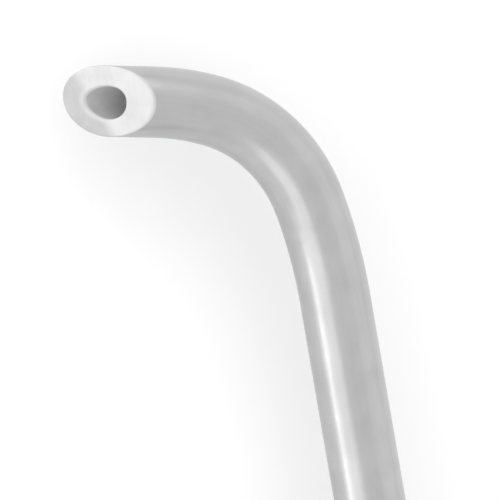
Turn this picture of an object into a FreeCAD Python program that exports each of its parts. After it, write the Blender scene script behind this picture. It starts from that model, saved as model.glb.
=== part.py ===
import FreeCAD, Part
import math
import os

import Sketcher

# Suction dissector: a thick-walled steel tube with a bent, slant-cut mouth, carried in a hollow
# eight-sided handle with a thumb saddle, a suction control port and a hose nipple.
# Millimetres. X runs along the instrument from the hose stop (x = 0) towards the mouth, and Z is up.
# It lies on the lowest flat of its handle, with the tip bent sideways towards +Y.

SIZES = [
    ("tube_diameter", 3.0, "outside diameter of the suction tube"),
    ("tube_bore", 1.3, "inside diameter of the suction tube"),
    ("bore_drift", 0.08, "how far the drawn bore lies above the tube's centre"),
    ("shaft_length", 60.0, "straight tube between the nose and the bend"),
    ("lead_in_radius", 21.1, "radius of the slow start of the bend"),
    ("lead_in_angle", 11.4, "degrees turned on the slow start"),
    ("bend_radius", 6.28, "radius of the main bend"),
    ("bend_angle", 54.6, "degrees turned on the main bend"),
    ("lead_out_radius", 10.87, "radius of the slow end of the bend"),
    ("lead_out_angle", 14.0, "degrees turned on the slow end"),
    ("tip_length", 2.32, "straight tube from the bend to the centre of the mouth"),
    ("mouth_slant", 50.3, "degrees between the mouth's face and a square cut"),
    ("mouth_turn", 10.6, "degrees that the slant is turned back towards the handle"),
    ("mouth_round", 0.25, "rounding of the mouth's outer edge"),
    ("bore_round", 0.08, "rounding of the bore's edge at the mouth"),
    ("tube_tail", 1.0, "tube that stands out behind the nose spigot, in the handle"),
    ("nose_length", 13.0, "length of the tapered nose outside the handle"),
    ("nose_land", 1.6, "straight land at the back of the nose"),
    ("nose_step", 0.2, "height of the step from the handle's end down to the nose"),
    ("nose_front_wall", 0.8, "wall of the nose where the tube leaves it"),
    ("nose_chamfer", 0.25, "chamfer on the nose's edges"),
    ("braze_leg", 0.45, "height and length of the fillet of braze at the nose"),
    ("braze_gap", 0.03, "radial gap between brazed pieces"),
    ("spigot_diameter", 5.4, "diameter of both spigots inside the handle"),
    ("spigot_length", 7.0, "length of both spigots inside the handle"),
    ("handle_length", 66.0, "length of the handle"),
    ("handle_width", 8.0, "handle's width across its flats"),
    ("handle_sides", 8, "number of flats milled on the handle"),
    ("handle_bore", 4.6, "diameter of the suction channel in the handle"),
    ("handle_end_drop", 0.2, "how far the handle's round ends lie below its flats"),
    ("handle_back_taper", 1.2, "length of the turned taper at the handle's back"),
    ("handle_front_taper", 4.0, "length of the turned taper at the handle's front"),
    ("groove_count", 8, "number of grip grooves"),
    ("groove_pitch", 2.6, "distance between grip grooves"),
    ("groove_width", 0.9, "width of a grip groove"),
    ("groove_depth", 0.35, "depth of a grip groove below the flats"),
    ("groove_start", 9.6, "first grip groove from the handle's back end"),
    ("saddle_length", 17.0, "length of the hollow for the thumb"),
    ("saddle_depth", 1.0, "depth of the hollow for the thumb"),
    ("saddle_setback", 20.0, "centre of the thumb saddle from the handle's front end"),
    ("port_diameter", 2.6, "round end of the suction control port"),
    ("port_tail_diameter", 1.2, "narrow end of the suction control port"),
    ("port_tail_reach", 3.6, "from the round end's centre to the narrow end's centre"),
    ("collar_length", 2.5, "length of the collar that stops the hose"),
    ("collar_rise", 0.5, "height of the collar above the nipple's seat"),
    ("collar_chamfer", 0.25, "chamfer on the collar's edges"),
    ("nipple_length", 18.0, "length of the hose nipple"),
    ("nipple_diameter", 6.6, "diameter of the nipple's plain seat next to the collar"),
    ("nipple_seat", 4.5, "length of the plain seat"),
    ("seat_lead", 0.5, "length of the cone that leads up to the seat"),
    ("nipple_bore", 3.6, "bore of the nipple"),
    ("nipple_lead", 1.5, "length of the lead-in cone at the free end"),
    ("nipple_end_drop", 0.45, "how far the lead-in cone falls to the free end"),
    ("barb_count", 4, "number of barbs"),
    ("barb_drop", 0.2, "how far the barbs lie below the seat"),
    ("barb_depth", 0.5, "depth of the step behind each barb"),
    ("bore_countersink", 0.4, "countersink at the nipple's free end"),
]

doc = FreeCAD.newDocument("SuctionDissector")
sheet = doc.addObject("Spreadsheet::Sheet", "Sizes")
for row, (alias, value, meaning) in enumerate(SIZES, start=1):
    sheet.set(f"A{row}", meaning)
    sheet.set(f"B{row}", str(value))
    sheet.setAlias(f"B{row}", alias)
doc.recompute()


def measure(expression):
    """What an expression of the sheet's cells comes to."""
    return float(sheet.evalExpression(expression))


# How far a cutting shape runs past what it cuts
OVERRUN = 1

# Closer than this counts as the same place or size
TOLERANCE = 1e-4

# Points on each edge that are looked at when the mouth's edges are found
EDGE_POINTS = 12

UP = FreeCAD.Vector(0, 0, 1)

# Places along X, as expressions of the sheet's cells
HANDLE_BACK = "Sizes.collar_length"
HANDLE_FRONT = f"({HANDLE_BACK} + Sizes.handle_length)"
BACK_SPIGOT_END = f"({HANDLE_BACK} + Sizes.spigot_length)"
FRONT_SPIGOT_END = f"({HANDLE_FRONT} - Sizes.spigot_length)"
NOSE_FRONT = f"({HANDLE_FRONT} + Sizes.nose_length)"
TUBE_TAIL_END = f"({FRONT_SPIGOT_END} - Sizes.tube_tail)"
BEND_START = f"({NOSE_FRONT} + Sizes.shaft_length)"
SADDLE_CENTRE = f"({HANDLE_FRONT} - Sizes.saddle_setback)"

# Radii, as expressions of the sheet's cells
TUBE_RADIUS = "Sizes.tube_diameter / 2"
SPIGOT_RADIUS = "Sizes.spigot_diameter / 2"
SOCKET_RADIUS = f"({SPIGOT_RADIUS} + Sizes.braze_gap)"
NOSE_BORE_RADIUS = f"({TUBE_RADIUS} + Sizes.braze_gap)"
NOSE_FRONT_RADIUS = f"({NOSE_BORE_RADIUS} + Sizes.nose_front_wall)"
END_RADIUS = "(Sizes.handle_width / 2 - Sizes.handle_end_drop)"
NOSE_BACK_RADIUS = f"({END_RADIUS} - Sizes.nose_step)"
CORNER_RADIUS = "(Sizes.handle_width / 2 / cos(180 / Sizes.handle_sides))"
SEAT_RADIUS = "Sizes.nipple_diameter / 2"
BARB_RADIUS = f"({SEAT_RADIUS} - Sizes.barb_drop)"
COLLAR_RADIUS = f"({SEAT_RADIUS} + Sizes.collar_rise)"

# Tube beyond the mouth's centre before the slant cut, enough for a whole face
TIP_WASTE = f"({TUBE_RADIUS} * tan(Sizes.mouth_slant * 1 deg) + {OVERRUN})"


def new_body(name):
    body = doc.addObject("PartDesign::Body", name)
    body.Label = name
    return body


def origin_part(body, role):
    """One of the body's own origin planes or axes, such as XY_Plane or X_Axis."""
    return next(o for o in body.Origin.OriginFeatures if o.Role == role)


def new_sketch(body, name, plane):
    sketch = body.newObject("Sketcher::SketchObject", name)
    sketch.AttachmentSupport = [(origin_part(body, plane), "")]
    sketch.MapMode = "FlatFace"
    return sketch


def bind(sketch, kind, geometry, expression):
    """Adds a constraint of that kind and ties its value to the sheet."""
    index = sketch.addConstraint(Sketcher.Constraint(kind, *geometry, 1.0))
    sketch.setExpression(f"Constraints[{index}]", expression)


def pin(sketch, geometry, point, across, up):
    """Places one point of the sketch by its distances from the origin."""
    bind(sketch, "DistanceX", (-1, 1, geometry, point), across)
    bind(sketch, "DistanceY", (-1, 1, geometry, point), up)


def add_outline(sketch, corners):
    """A closed outline of straight lines; each corner is a pair of expressions."""
    count = len(corners)
    spread = math.tau / count
    loose = [FreeCAD.Vector(math.cos(i * spread), math.sin(i * spread), 0) for i in range(count)]
    lines = [
        sketch.addGeometry(Part.LineSegment(loose[i], loose[(i + 1) % count]), False)
        for i in range(count)
    ]
    for i, line in enumerate(lines):
        sketch.addConstraint(Sketcher.Constraint("Coincident", line, 2, lines[(i + 1) % count], 1))
    for line, (across, up) in zip(lines, corners):
        pin(sketch, line, 1, across, up)


def add_circle(sketch, across, up, radius):
    circle = sketch.addGeometry(
        Part.Circle(FreeCAD.Vector(0, 0, 0), FreeCAD.Vector(0, 0, 1), 1.0), False
    )
    pin(sketch, circle, 3, across, up)
    bind(sketch, "Radius", (circle,), radius)


def check(feature):
    """Stops the build at once when a feature has failed."""
    doc.recompute()
    broken = {"Invalid", "Error"} & set(feature.State)
    if broken or feature.Shape.isNull() or not feature.Shape.isValid():
        raise RuntimeError(f"{feature.Name} failed: {feature.State}")
    return feature


def turn(body, name, corners):
    """A solid turned about X from an outline of (x, radius) corners."""
    sketch = new_sketch(body, name + "_outline", "XZ_Plane")
    add_outline(sketch, corners)
    feature = body.newObject("PartDesign::Revolution", name)
    feature.Profile = sketch
    feature.ReferenceAxis = (origin_part(body, "X_Axis"), [""])
    feature.Angle = 360
    return check(feature)


def groove(body, name, sketch):
    """Cuts a profile away all round the X axis."""
    before = body.Shape.Volume
    feature = body.newObject("PartDesign::Groove", name)
    feature.Profile = sketch
    feature.ReferenceAxis = (origin_part(body, "X_Axis"), [""])
    feature.Angle = 360
    return check_cut(feature, before)


def pocket(body, name, sketch, depth=None):
    """Cuts a profile away along its normal to a depth, or right through to both sides."""
    before = body.Shape.Volume
    feature = body.newObject("PartDesign::Pocket", name)
    feature.Profile = sketch
    if depth:
        feature.Reversed = True
        feature.setExpression("Length", depth)
    else:
        feature.Type = "ThroughAll"
        feature.Midplane = True
    return check_cut(feature, before)


def check_cut(feature, before):
    """A cut that points away from the solid fails in silence, so the volume is compared."""
    check(feature)
    if before - feature.Shape.Volume < TOLERANCE:
        raise RuntimeError(f"{feature.Name} cut nothing")
    return feature


def repeat_along(body, name, feature, count, length):
    """Repeats a feature along X: count copies in all, over the length between first and last."""
    pattern = body.newObject("PartDesign::LinearPattern", name)
    pattern.Originals = [feature]
    pattern.Direction = (origin_part(body, "X_Axis"), [""])
    pattern.setExpression("Occurrences", count)
    pattern.setExpression("Length", length)
    body.Tip = pattern
    return check(pattern)


def repeat_round(body, name, feature, count):
    """Repeats a feature evenly round the X axis."""
    pattern = body.newObject("PartDesign::PolarPattern", name)
    pattern.Originals = [feature]
    pattern.Axis = (origin_part(body, "X_Axis"), [""])
    pattern.Angle = 360
    pattern.setExpression("Occurrences", count)
    body.Tip = pattern
    return check(pattern)


def round_edges(body, name, feature, edges, radius):
    """Fillets the edges that are given by their numbers."""
    fillet = body.newObject("PartDesign::Fillet", name)
    fillet.Base = (feature, [f"Edge{number}" for number in edges])
    fillet.setExpression("Radius", radius)
    return check(fillet)


def chamfer_edges(body, name, feature, edges, leg):
    """Chamfers the edges that are given by their numbers."""
    chamfer = body.newObject("PartDesign::Chamfer", name)
    chamfer.Base = (feature, [f"Edge{number}" for number in edges])
    chamfer.setExpression("Size", leg)
    return check(chamfer)


def circles_at(shape, place, radius):
    """Numbers of the round edges about the X axis at one place and radius."""
    x = measure(place)
    wanted = measure(radius)
    return [
        number
        for number, edge in enumerate(shape.Edges, start=1)
        if isinstance(edge.Curve, Part.Circle)
        and abs(edge.Curve.Center.x - x) < TOLERANCE
        and abs(edge.Curve.Radius - wanted) < TOLERANCE
    ]


# Suction tube

def add_bend_path(body):
    """The tube's centreline: shaft, three arcs that bend it towards +Y, and the straight tip."""
    path = new_sketch(body, "tube_path", "XY_Plane")
    stages = ("lead_in", "bend", "lead_out")
    corner = FreeCAD.Vector(measure(BEND_START), 0, 0)
    heading = 0.0
    chain = [Part.LineSegment(FreeCAD.Vector(measure(TUBE_TAIL_END), 0, 0), corner)]
    for stage in stages:
        radius = measure(f"Sizes.{stage}_radius")
        turned = math.radians(measure(f"Sizes.{stage}_angle"))
        centre = corner + FreeCAD.Vector(-math.sin(heading), math.cos(heading), 0) * radius
        start = heading - math.pi / 2
        circle = Part.Circle(centre, UP, radius)
        chain.append(Part.ArcOfCircle(circle, start, start + turned))
        heading += turned
        corner = centre + FreeCAD.Vector(math.sin(heading), -math.cos(heading), 0) * radius
    along = FreeCAD.Vector(math.cos(heading), math.sin(heading), 0)
    tip_length = f"Sizes.tip_length + {TIP_WASTE}"
    chain.append(Part.LineSegment(corner, corner + along * measure(tip_length)))
    shaft, *arcs, tip = (path.addGeometry(piece, False) for piece in chain)
    for first, second in zip([shaft, *arcs], [*arcs, tip]):
        path.addConstraint(Sketcher.Constraint("Tangent", first, 2, second, 1))
    path.addConstraint(Sketcher.Constraint("PointOnObject", shaft, 1, -1))
    path.addConstraint(Sketcher.Constraint("Horizontal", shaft))
    bind(path, "DistanceX", (-1, 1, shaft, 1), TUBE_TAIL_END)
    bind(path, "DistanceX", (-1, 1, shaft, 2), BEND_START)
    for arc, stage in zip(arcs, stages):
        bind(path, "Radius", (arc,), f"Sizes.{stage}_radius")
        bind(path, "Angle", (arc,), f"Sizes.{stage}_angle * 1 deg")
    bind(path, "Distance", (tip,), tip_length)
    return check(path)


def mouth_plane(path):
    """Where the slant cut goes: the mouth's centre, and the way that its face looks."""
    tip = path.Shape.Edges[-1]
    start = tip.Vertexes[0].Point
    along = (tip.Vertexes[-1].Point - start).normalize()
    turned = math.radians(measure("Sizes.mouth_turn"))
    lean = UP * math.cos(turned) + UP.cross(along) * math.sin(turned)
    slant = math.radians(measure("Sizes.mouth_slant"))
    centre = start + along * measure("Sizes.tip_length")
    return centre, along * math.cos(slant) + lean * math.sin(slant)


def mouth_edges(shape, centre, normal):
    """Numbers of the outer and the bore edges on the mouth's flat face."""
    outer = []
    inner = []
    slant = "cos(Sizes.mouth_slant * 1 deg)"
    middle_of_wall = measure(f"(Sizes.tube_bore + Sizes.tube_diameter) / 4 / {slant}")
    for number, edge in enumerate(shape.Edges, start=1):
        offsets = [point - centre for point in edge.discretize(EDGE_POINTS)]
        if all(abs(offset.dot(normal)) < TOLERANCE for offset in offsets):
            reach = max(offset.Length for offset in offsets)
            (outer if reach > middle_of_wall else inner).append(number)
    return outer, inner


def make_suction_tube():
    """Drawn tube, bent, cut off on the slant, and rounded all round its mouth."""
    body = new_body("suction_tube")
    path = add_bend_path(body)
    ring = new_sketch(body, "tube_ring", "YZ_Plane")
    ring.setExpression(".AttachmentOffset.Base.z", TUBE_TAIL_END)
    add_circle(ring, "0", "0", TUBE_RADIUS)
    add_circle(ring, "0", "Sizes.bore_drift", "Sizes.tube_bore / 2")
    tube = body.newObject("PartDesign::AdditivePipe", "drawn_tube")
    tube.Profile = ring
    tube.Spine = path
    check(tube)
    centre, normal = mouth_plane(path)
    cutter = new_sketch(body, "mouth_cutter", "XY_Plane")
    cutter.AttachmentOffset = FreeCAD.Placement(centre, FreeCAD.Rotation(UP, normal))
    add_circle(cutter, "0", "0", f"{TIP_WASTE} + {TUBE_RADIUS}")
    cut = pocket(body, "slant_cut", cutter, f"{TIP_WASTE} + {TUBE_RADIUS}")
    outer, _ = mouth_edges(cut.Shape, centre, normal)
    rim = round_edges(body, "mouth_rim", cut, outer, "Sizes.mouth_round")
    _, inner = mouth_edges(rim.Shape, centre, normal)
    round_edges(body, "bore_rim", rim, inner, "Sizes.bore_round")
    return body


# Nose and braze

def make_nose():
    """The turned nose that holds the tube, with its spigot in the handle."""
    body = new_body("nose_ferrule")
    turned = turn(body, "nose_blank", [
        (FRONT_SPIGOT_END, NOSE_BORE_RADIUS),
        (FRONT_SPIGOT_END, SPIGOT_RADIUS),
        (HANDLE_FRONT, SPIGOT_RADIUS),
        (HANDLE_FRONT, NOSE_BACK_RADIUS),
        (f"{HANDLE_FRONT} + Sizes.nose_land", NOSE_BACK_RADIUS),
        (NOSE_FRONT, NOSE_FRONT_RADIUS),
        (NOSE_FRONT, NOSE_BORE_RADIUS),
    ])
    edges = circles_at(turned.Shape, HANDLE_FRONT, NOSE_BACK_RADIUS)
    edges += circles_at(turned.Shape, NOSE_FRONT, NOSE_FRONT_RADIUS)
    chamfer_edges(body, "nose_edges", turned, edges, "Sizes.nose_chamfer")
    return body


def make_braze():
    """The fillet of braze in the corner between the nose's front face and the tube."""
    body = new_body("tube_braze")
    front = f"{NOSE_FRONT} + Sizes.braze_leg"
    rim = f"{TUBE_RADIUS} + Sizes.braze_leg"
    turn(body, "braze_ring", [(NOSE_FRONT, TUBE_RADIUS), (front, TUBE_RADIUS), (NOSE_FRONT, rim)])
    return body


# Handle

def make_handle():
    """Turned, milled eight-sided, grooved for grip, and hollowed for the thumb."""
    body = new_body("handle")
    turn(body, "handle_bar", [
        (HANDLE_BACK, SOCKET_RADIUS),
        (HANDLE_BACK, END_RADIUS),
        (f"{HANDLE_BACK} + Sizes.handle_back_taper", CORNER_RADIUS),
        (f"{HANDLE_FRONT} - Sizes.handle_front_taper", CORNER_RADIUS),
        (HANDLE_FRONT, END_RADIUS),
        (HANDLE_FRONT, SOCKET_RADIUS),
        (FRONT_SPIGOT_END, SOCKET_RADIUS),
        (FRONT_SPIGOT_END, "Sizes.handle_bore / 2"),
        (BACK_SPIGOT_END, "Sizes.handle_bore / 2"),
        (BACK_SPIGOT_END, SOCKET_RADIUS),
    ])
    mill_flats(body)
    cut_grip(body)
    cut_saddle(body)
    cut_port(body)
    return body


def mill_flats(body):
    """One flat on top, repeated round the bar."""
    sketch = new_sketch(body, "flat_outline", "XZ_Plane")
    bottom = "Sizes.handle_width / 2"
    top = f"{CORNER_RADIUS} + {OVERRUN}"
    back = f"{HANDLE_BACK} - {OVERRUN}"
    front = f"{HANDLE_FRONT} + {OVERRUN}"
    add_outline(sketch, [(back, bottom), (front, bottom), (front, top), (back, top)])
    flat = pocket(body, "flat", sketch)
    repeat_round(body, "flats", flat, "Sizes.handle_sides")


def cut_grip(body):
    """Turned grooves with a round floor, in the back half of the handle."""
    sketch = new_sketch(body, "groove_outline", "XZ_Plane")
    middle = f"{HANDLE_BACK} + Sizes.groove_start"
    back = f"{middle} - Sizes.groove_width / 2"
    front = f"{middle} + Sizes.groove_width / 2"
    floor = "Sizes.handle_width / 2 - Sizes.groove_depth"
    top = f"{CORNER_RADIUS} + {OVERRUN}"
    add_outline(sketch, [(back, floor), (front, floor), (front, top), (back, top)])
    first = groove(body, "grip_groove", sketch)
    run = "Sizes.groove_pitch * (Sizes.groove_count - 1)"
    repeat_along(body, "grip_grooves", first, "Sizes.groove_count", run)


def cut_saddle(body):
    """A hollow for the thumb: a shallow arc across the top of the handle."""
    sketch = new_sketch(body, "saddle_outline", "XZ_Plane")
    half = "(Sizes.saddle_length / 2)"
    radius = f"(({half} * {half} + Sizes.saddle_depth ^ 2) / 2 / Sizes.saddle_depth)"
    up = f"Sizes.handle_width / 2 - Sizes.saddle_depth + {radius}"
    add_circle(sketch, SADDLE_CENTRE, up, radius)
    pocket(body, "thumb_saddle", sketch)


def cut_port(body):
    """The suction control port: a round hole with a tail that narrows towards the nose."""
    sketch = new_sketch(body, "port_outline", "XY_Plane")
    wide = measure("Sizes.port_diameter / 2")
    narrow = measure("Sizes.port_tail_diameter / 2")
    reach = measure("Sizes.port_tail_reach")
    centre = FreeCAD.Vector(measure(SADDLE_CENTRE), 0, 0)
    tail = centre + FreeCAD.Vector(reach, 0, 0)
    lean = math.acos((wide - narrow) / reach)
    edge = FreeCAD.Vector(math.cos(lean), math.sin(lean), 0)
    mirrored = FreeCAD.Vector(math.cos(lean), -math.sin(lean), 0)
    big = Part.ArcOfCircle(Part.Circle(centre, UP, wide), lean, math.tau - lean)
    small = Part.ArcOfCircle(Part.Circle(tail, UP, narrow), -lean, lean)
    low = Part.LineSegment(centre + mirrored * wide, tail + mirrored * narrow)
    high = Part.LineSegment(tail + edge * narrow, centre + edge * wide)
    round_end, side_low, tail_end, side_high = (
        sketch.addGeometry(piece, False) for piece in (big, low, small, high)
    )
    for first, second in (
        ((round_end, 2), (side_low, 1)),
        ((side_low, 2), (tail_end, 1)),
        ((tail_end, 2), (side_high, 1)),
        ((side_high, 2), (round_end, 1)),
    ):
        sketch.addConstraint(Sketcher.Constraint("Tangent", *first, *second))
    sketch.addConstraint(Sketcher.Constraint("PointOnObject", round_end, 3, -1))
    sketch.addConstraint(Sketcher.Constraint("PointOnObject", tail_end, 3, -1))
    bind(sketch, "DistanceX", (-1, 1, round_end, 3), SADDLE_CENTRE)
    bind(sketch, "DistanceX", (round_end, 3, tail_end, 3), "Sizes.port_tail_reach")
    bind(sketch, "Radius", (round_end,), "Sizes.port_diameter / 2")
    bind(sketch, "Radius", (tail_end,), "Sizes.port_tail_diameter / 2")
    pocket(body, "control_port", sketch, "Sizes.handle_width")


# Hose nipple

def make_nipple():
    """The barbed hose nipple with its collar, and its spigot in the handle."""
    body = new_body("hose_nipple")
    bore = "Sizes.nipple_bore / 2"
    free_end = "-Sizes.nipple_length"
    first_step = f"({free_end} + Sizes.nipple_lead)"
    last_barb = "(-Sizes.nipple_seat - Sizes.seat_lead)"
    turned = turn(body, "nipple_blank", [
        (f"{free_end} + Sizes.bore_countersink", bore),
        (free_end, f"{bore} + Sizes.bore_countersink"),
        (free_end, f"{BARB_RADIUS} - Sizes.nipple_end_drop"),
        (first_step, BARB_RADIUS),
        (last_barb, BARB_RADIUS),
        ("-Sizes.nipple_seat", SEAT_RADIUS),
        ("0", SEAT_RADIUS),
        ("0", COLLAR_RADIUS),
        (HANDLE_BACK, COLLAR_RADIUS),
        (HANDLE_BACK, SPIGOT_RADIUS),
        (BACK_SPIGOT_END, SPIGOT_RADIUS),
        (BACK_SPIGOT_END, bore),
    ])
    collar = circles_at(turned.Shape, "0", COLLAR_RADIUS)
    collar += circles_at(turned.Shape, HANDLE_BACK, COLLAR_RADIUS)
    chamfer_edges(body, "collar_edges", turned, collar, "Sizes.collar_chamfer")
    pitch = f"(({last_barb} - {first_step}) / Sizes.barb_count)"
    notch = new_sketch(body, "barb_outline", "XZ_Plane")
    add_outline(notch, [
        (first_step, f"{BARB_RADIUS} - Sizes.barb_depth"),
        (f"{first_step} + {pitch}", BARB_RADIUS),
        (first_step, BARB_RADIUS),
    ])
    first = groove(body, "barb", notch)
    repeat_along(body, "barbs", first, "Sizes.barb_count", f"{pitch} * (Sizes.barb_count - 1)")
    return body


pieces = [
    make_suction_tube(),
    make_nose(),
    make_braze(),
    make_handle(),
    make_nipple(),
]
doc.recompute()

for item in doc.Objects:
    if {"Invalid", "Error"} & set(item.State):
        raise RuntimeError(f"{item.Name} is in state {item.State}")

os.makedirs("parts", exist_ok=True)
for piece in pieces:
    solid = piece.Shape
    if solid.isNull() or not solid.isValid() or len(solid.Solids) != 1:
        raise RuntimeError(f"{piece.Label} isn't one valid solid")
    solid.exportStep(f"parts/{piece.Label}.step")
    print(f"{piece.Label}: {solid.Volume:.2f} mm3")
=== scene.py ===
"""Suction dissector: the looks of its five pieces, in metres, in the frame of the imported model.

X runs along the instrument towards the mouth, Z is up, and the tip bends towards +Y.
Laid out as a Blender add-on: sizes and finishes are properties, each piece has an operator.
"""

import math

import bmesh
import bpy
from bpy.props import FloatProperty, FloatVectorProperty, IntProperty, PointerProperty
from bpy.types import Operator, Panel, PropertyGroup
from mathutils import Matrix, Vector


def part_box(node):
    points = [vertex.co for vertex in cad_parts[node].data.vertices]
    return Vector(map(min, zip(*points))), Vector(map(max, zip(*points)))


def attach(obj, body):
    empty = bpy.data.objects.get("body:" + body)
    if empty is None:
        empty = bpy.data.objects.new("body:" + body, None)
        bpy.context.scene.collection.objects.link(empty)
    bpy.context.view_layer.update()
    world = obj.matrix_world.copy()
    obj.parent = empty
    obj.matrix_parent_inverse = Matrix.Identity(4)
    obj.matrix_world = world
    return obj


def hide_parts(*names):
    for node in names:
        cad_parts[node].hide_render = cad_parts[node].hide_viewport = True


bl_info = {
    "name": "Suction dissector",
    "version": (1, 0, 0),
    "blender": (4, 5, 0),
    "location": "View3D > Sidebar > Dissector",
    "description": "Builds a suction dissector with its finishes, floor, lamps and camera",
    "category": "Object",
}

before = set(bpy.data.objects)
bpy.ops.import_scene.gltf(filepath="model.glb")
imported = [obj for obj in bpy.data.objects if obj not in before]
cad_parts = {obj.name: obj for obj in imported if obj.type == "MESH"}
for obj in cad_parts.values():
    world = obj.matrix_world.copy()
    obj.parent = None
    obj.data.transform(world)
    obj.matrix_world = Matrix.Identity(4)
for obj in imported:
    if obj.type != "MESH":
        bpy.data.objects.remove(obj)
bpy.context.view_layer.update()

MM = 0.001
UP = Vector((0, 0, 1))

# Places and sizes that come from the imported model
TUBE_LOW, TUBE_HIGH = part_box("suction_tube")
NOSE_LOW, NOSE_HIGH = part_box("nose_ferrule")
BRAZE_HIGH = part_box("tube_braze")[1]
HANDLE_LOW, HANDLE_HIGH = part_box("handle")
NIPPLE_LOW, NIPPLE_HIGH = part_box("hose_nipple")
FLOOR_HEIGHT = HANDLE_LOW.z


def length(name, description, default):
    """A length property; defaults are metres."""
    return FloatProperty(
        name=name, description=description, default=default, unit="LENGTH", precision=6
    )


def angle(name, description, degrees):
    """An angle property; its default is written in degrees."""
    return FloatProperty(
        name=name, description=description, default=math.radians(degrees), subtype="ANGLE"
    )


def share(name, description, default):
    """A plain factor from 0 up."""
    return FloatProperty(
        name=name, description=description, default=default, min=0, subtype="FACTOR"
    )


def colour(name, description, default):
    """A colour property, linear red, green and blue."""
    return FloatVectorProperty(
        name=name, description=description, default=default, size=3, min=0, max=1, subtype="COLOR"
    )


def count(name, description, default):
    """How many of something there are."""
    return IntProperty(name=name, description=description, default=default, min=1)


class TubeSizes(PropertyGroup):
    """The drawn, bent and slant-cut suction tube."""

    radius: length("Radius", "Outside radius of the tube", -TUBE_LOW.z)
    tail: length("Tail", "Where the tube ends inside the handle", TUBE_LOW.x)
    shaft: length("Shaft", "Straight tube between the nose and the bend", 60 * MM)
    lead_in_radius: length("Lead-in radius", "Radius of the slow start of the bend", 21.1 * MM)
    lead_in: angle("Lead-in", "Turned on the slow start of the bend", 11.4)
    bend_radius: length("Bend radius", "Radius of the main bend", 6.28 * MM)
    bend: angle("Bend", "Turned on the main bend", 54.6)
    lead_out_radius: length("Lead-out radius", "Radius of the slow end of the bend", 10.87 * MM)
    lead_out: angle("Lead-out", "Turned on the slow end of the bend", 14.0)
    tip: length("Tip", "Straight tube from the bend to the centre of the mouth", 2.2 * MM)
    slant: angle("Slant", "Between the mouth's face and a square cut", 47.1)
    turn: angle("Turn", "How far the slant is turned back towards the handle", 8.9)
    bore: length("Bore", "Mean radius of the bore", 0.66 * MM)
    bore_rise: length("Bore rise", "Bore's centre above the tube's centre", -0.05 * MM)
    bore_side: length("Bore side", "Bore's centre to the side of the tube's centre", 0.05 * MM)
    bore_oval: length("Bore oval", "How far the bore is out of round", 0.01 * MM)
    bore_lobe: length("Bore lobe", "Depth of the bore's three shallow lobes", 0.03 * MM)
    bore_oval_turn: angle("Oval turn", "Where the bore is widest", 7.1)
    bore_lobe_turn: angle("Lobe turn", "Where the first lobe lies", 17.9)
    blunt_start: length("Blunt start", "Where the mouth's blunted point begins, from the axis", 0.44 * MM)
    blunt_turn: angle("Blunt turn", "Way from the axis to the blunted point", -71.0)
    blunt_drop: share("Blunt drop", "How much flatter the blunted point is than the face", 0.23)
    blunt_blend: length("Blunt blend", "Softness of the blunted point's border", 0.32 * MM)
    # Painted highlight: round the bore the painted shade of the blunted point is left off, so a brighter
    # ring of face colour shows.
    painted_highlight_ring: length("Polished ring", "Bright ring of the face round the bore", 0.25 * MM)
    rim: length("Rim", "Rounding of the mouth's outer edge", 0.05 * MM)
    heel: length("Heel", "Rounding of the outer edge at the mouth's heel", 0.1 * MM)
    bore_rim: length("Bore rim", "Rounding of the bore's edge at the mouth", 0.11 * MM)
    columns: count("Columns", "Faces round the tube", 160)


class NoseSizes(PropertyGroup):
    """The turned nose that holds the tube, and its fillet of braze."""

    land: length("Land", "Straight land at the back of the nose", 1.6 * MM)
    bore: length("Bore", "Radius of the bore that holds the tube", -TUBE_LOW.z + 0.03 * MM)
    front_wall: length("Front wall", "Wall of the nose where the tube leaves it", 0.8 * MM)
    spigot: length("Spigot", "Radius of the spigots inside the handle", 2.7 * MM)
    edge: length("Edge", "Rounding of the nose's edges", 0.25 * MM)
    unevenness: share("Unevenness", "How unevenly the braze has flowed", 0.12)
    turns: count("Turns", "Faces round the nose and the braze", 160)


class HandleSizes(PropertyGroup):
    """The turned and milled handle."""

    sides: count("Sides", "Flats milled on the handle", 8)
    end: length("End radius", "Radius of the turned ends", 3.8 * MM)
    back_taper: length("Back taper", "Length of the turned taper at the back", 1.2 * MM)
    front_taper: length("Front taper", "Length of the turned taper at the front", 4.0 * MM)
    corner_land: length("Corner land", "How far the flats' corners are turned off", 0.05 * MM)
    socket: length("Socket", "Radius of the sockets for the spigots", 2.73 * MM)
    channel: length("Channel", "Radius of the suction channel", 2.3 * MM)
    grooves: count("Grooves", "Grip grooves", 8)
    groove_start: length("Groove start", "First groove from the back end", 9.6 * MM)
    groove_pitch: length("Groove pitch", "Distance between grooves", 2.6 * MM)
    groove_width: length("Groove width", "Width of a groove", 0.9 * MM)
    groove_depth: length("Groove depth", "Depth of a groove below the flats", 0.35 * MM)
    saddle_length: length("Saddle length", "Length of the hollow for the thumb", 17 * MM)
    saddle_depth: length("Saddle depth", "Depth of the hollow for the thumb", 1 * MM)
    saddle_setback: length("Saddle setback", "Saddle's centre from the front end", 20 * MM)
    port: length("Port", "Radius of the round end of the control port", 1.3 * MM)
    port_tail: length("Port tail", "Radius of the narrow end of the port", 0.6 * MM)
    port_reach: length("Port reach", "Between the centres of the port's ends", 3.6 * MM)
    port_edge: length("Port edge", "Countersunk edge of the port", 0.15 * MM)
    edge: length("Edge", "Rounding of the handle's edges", 0.09 * MM)
    flat_columns: count("Flat columns", "Faces across one flat", 30)


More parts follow.
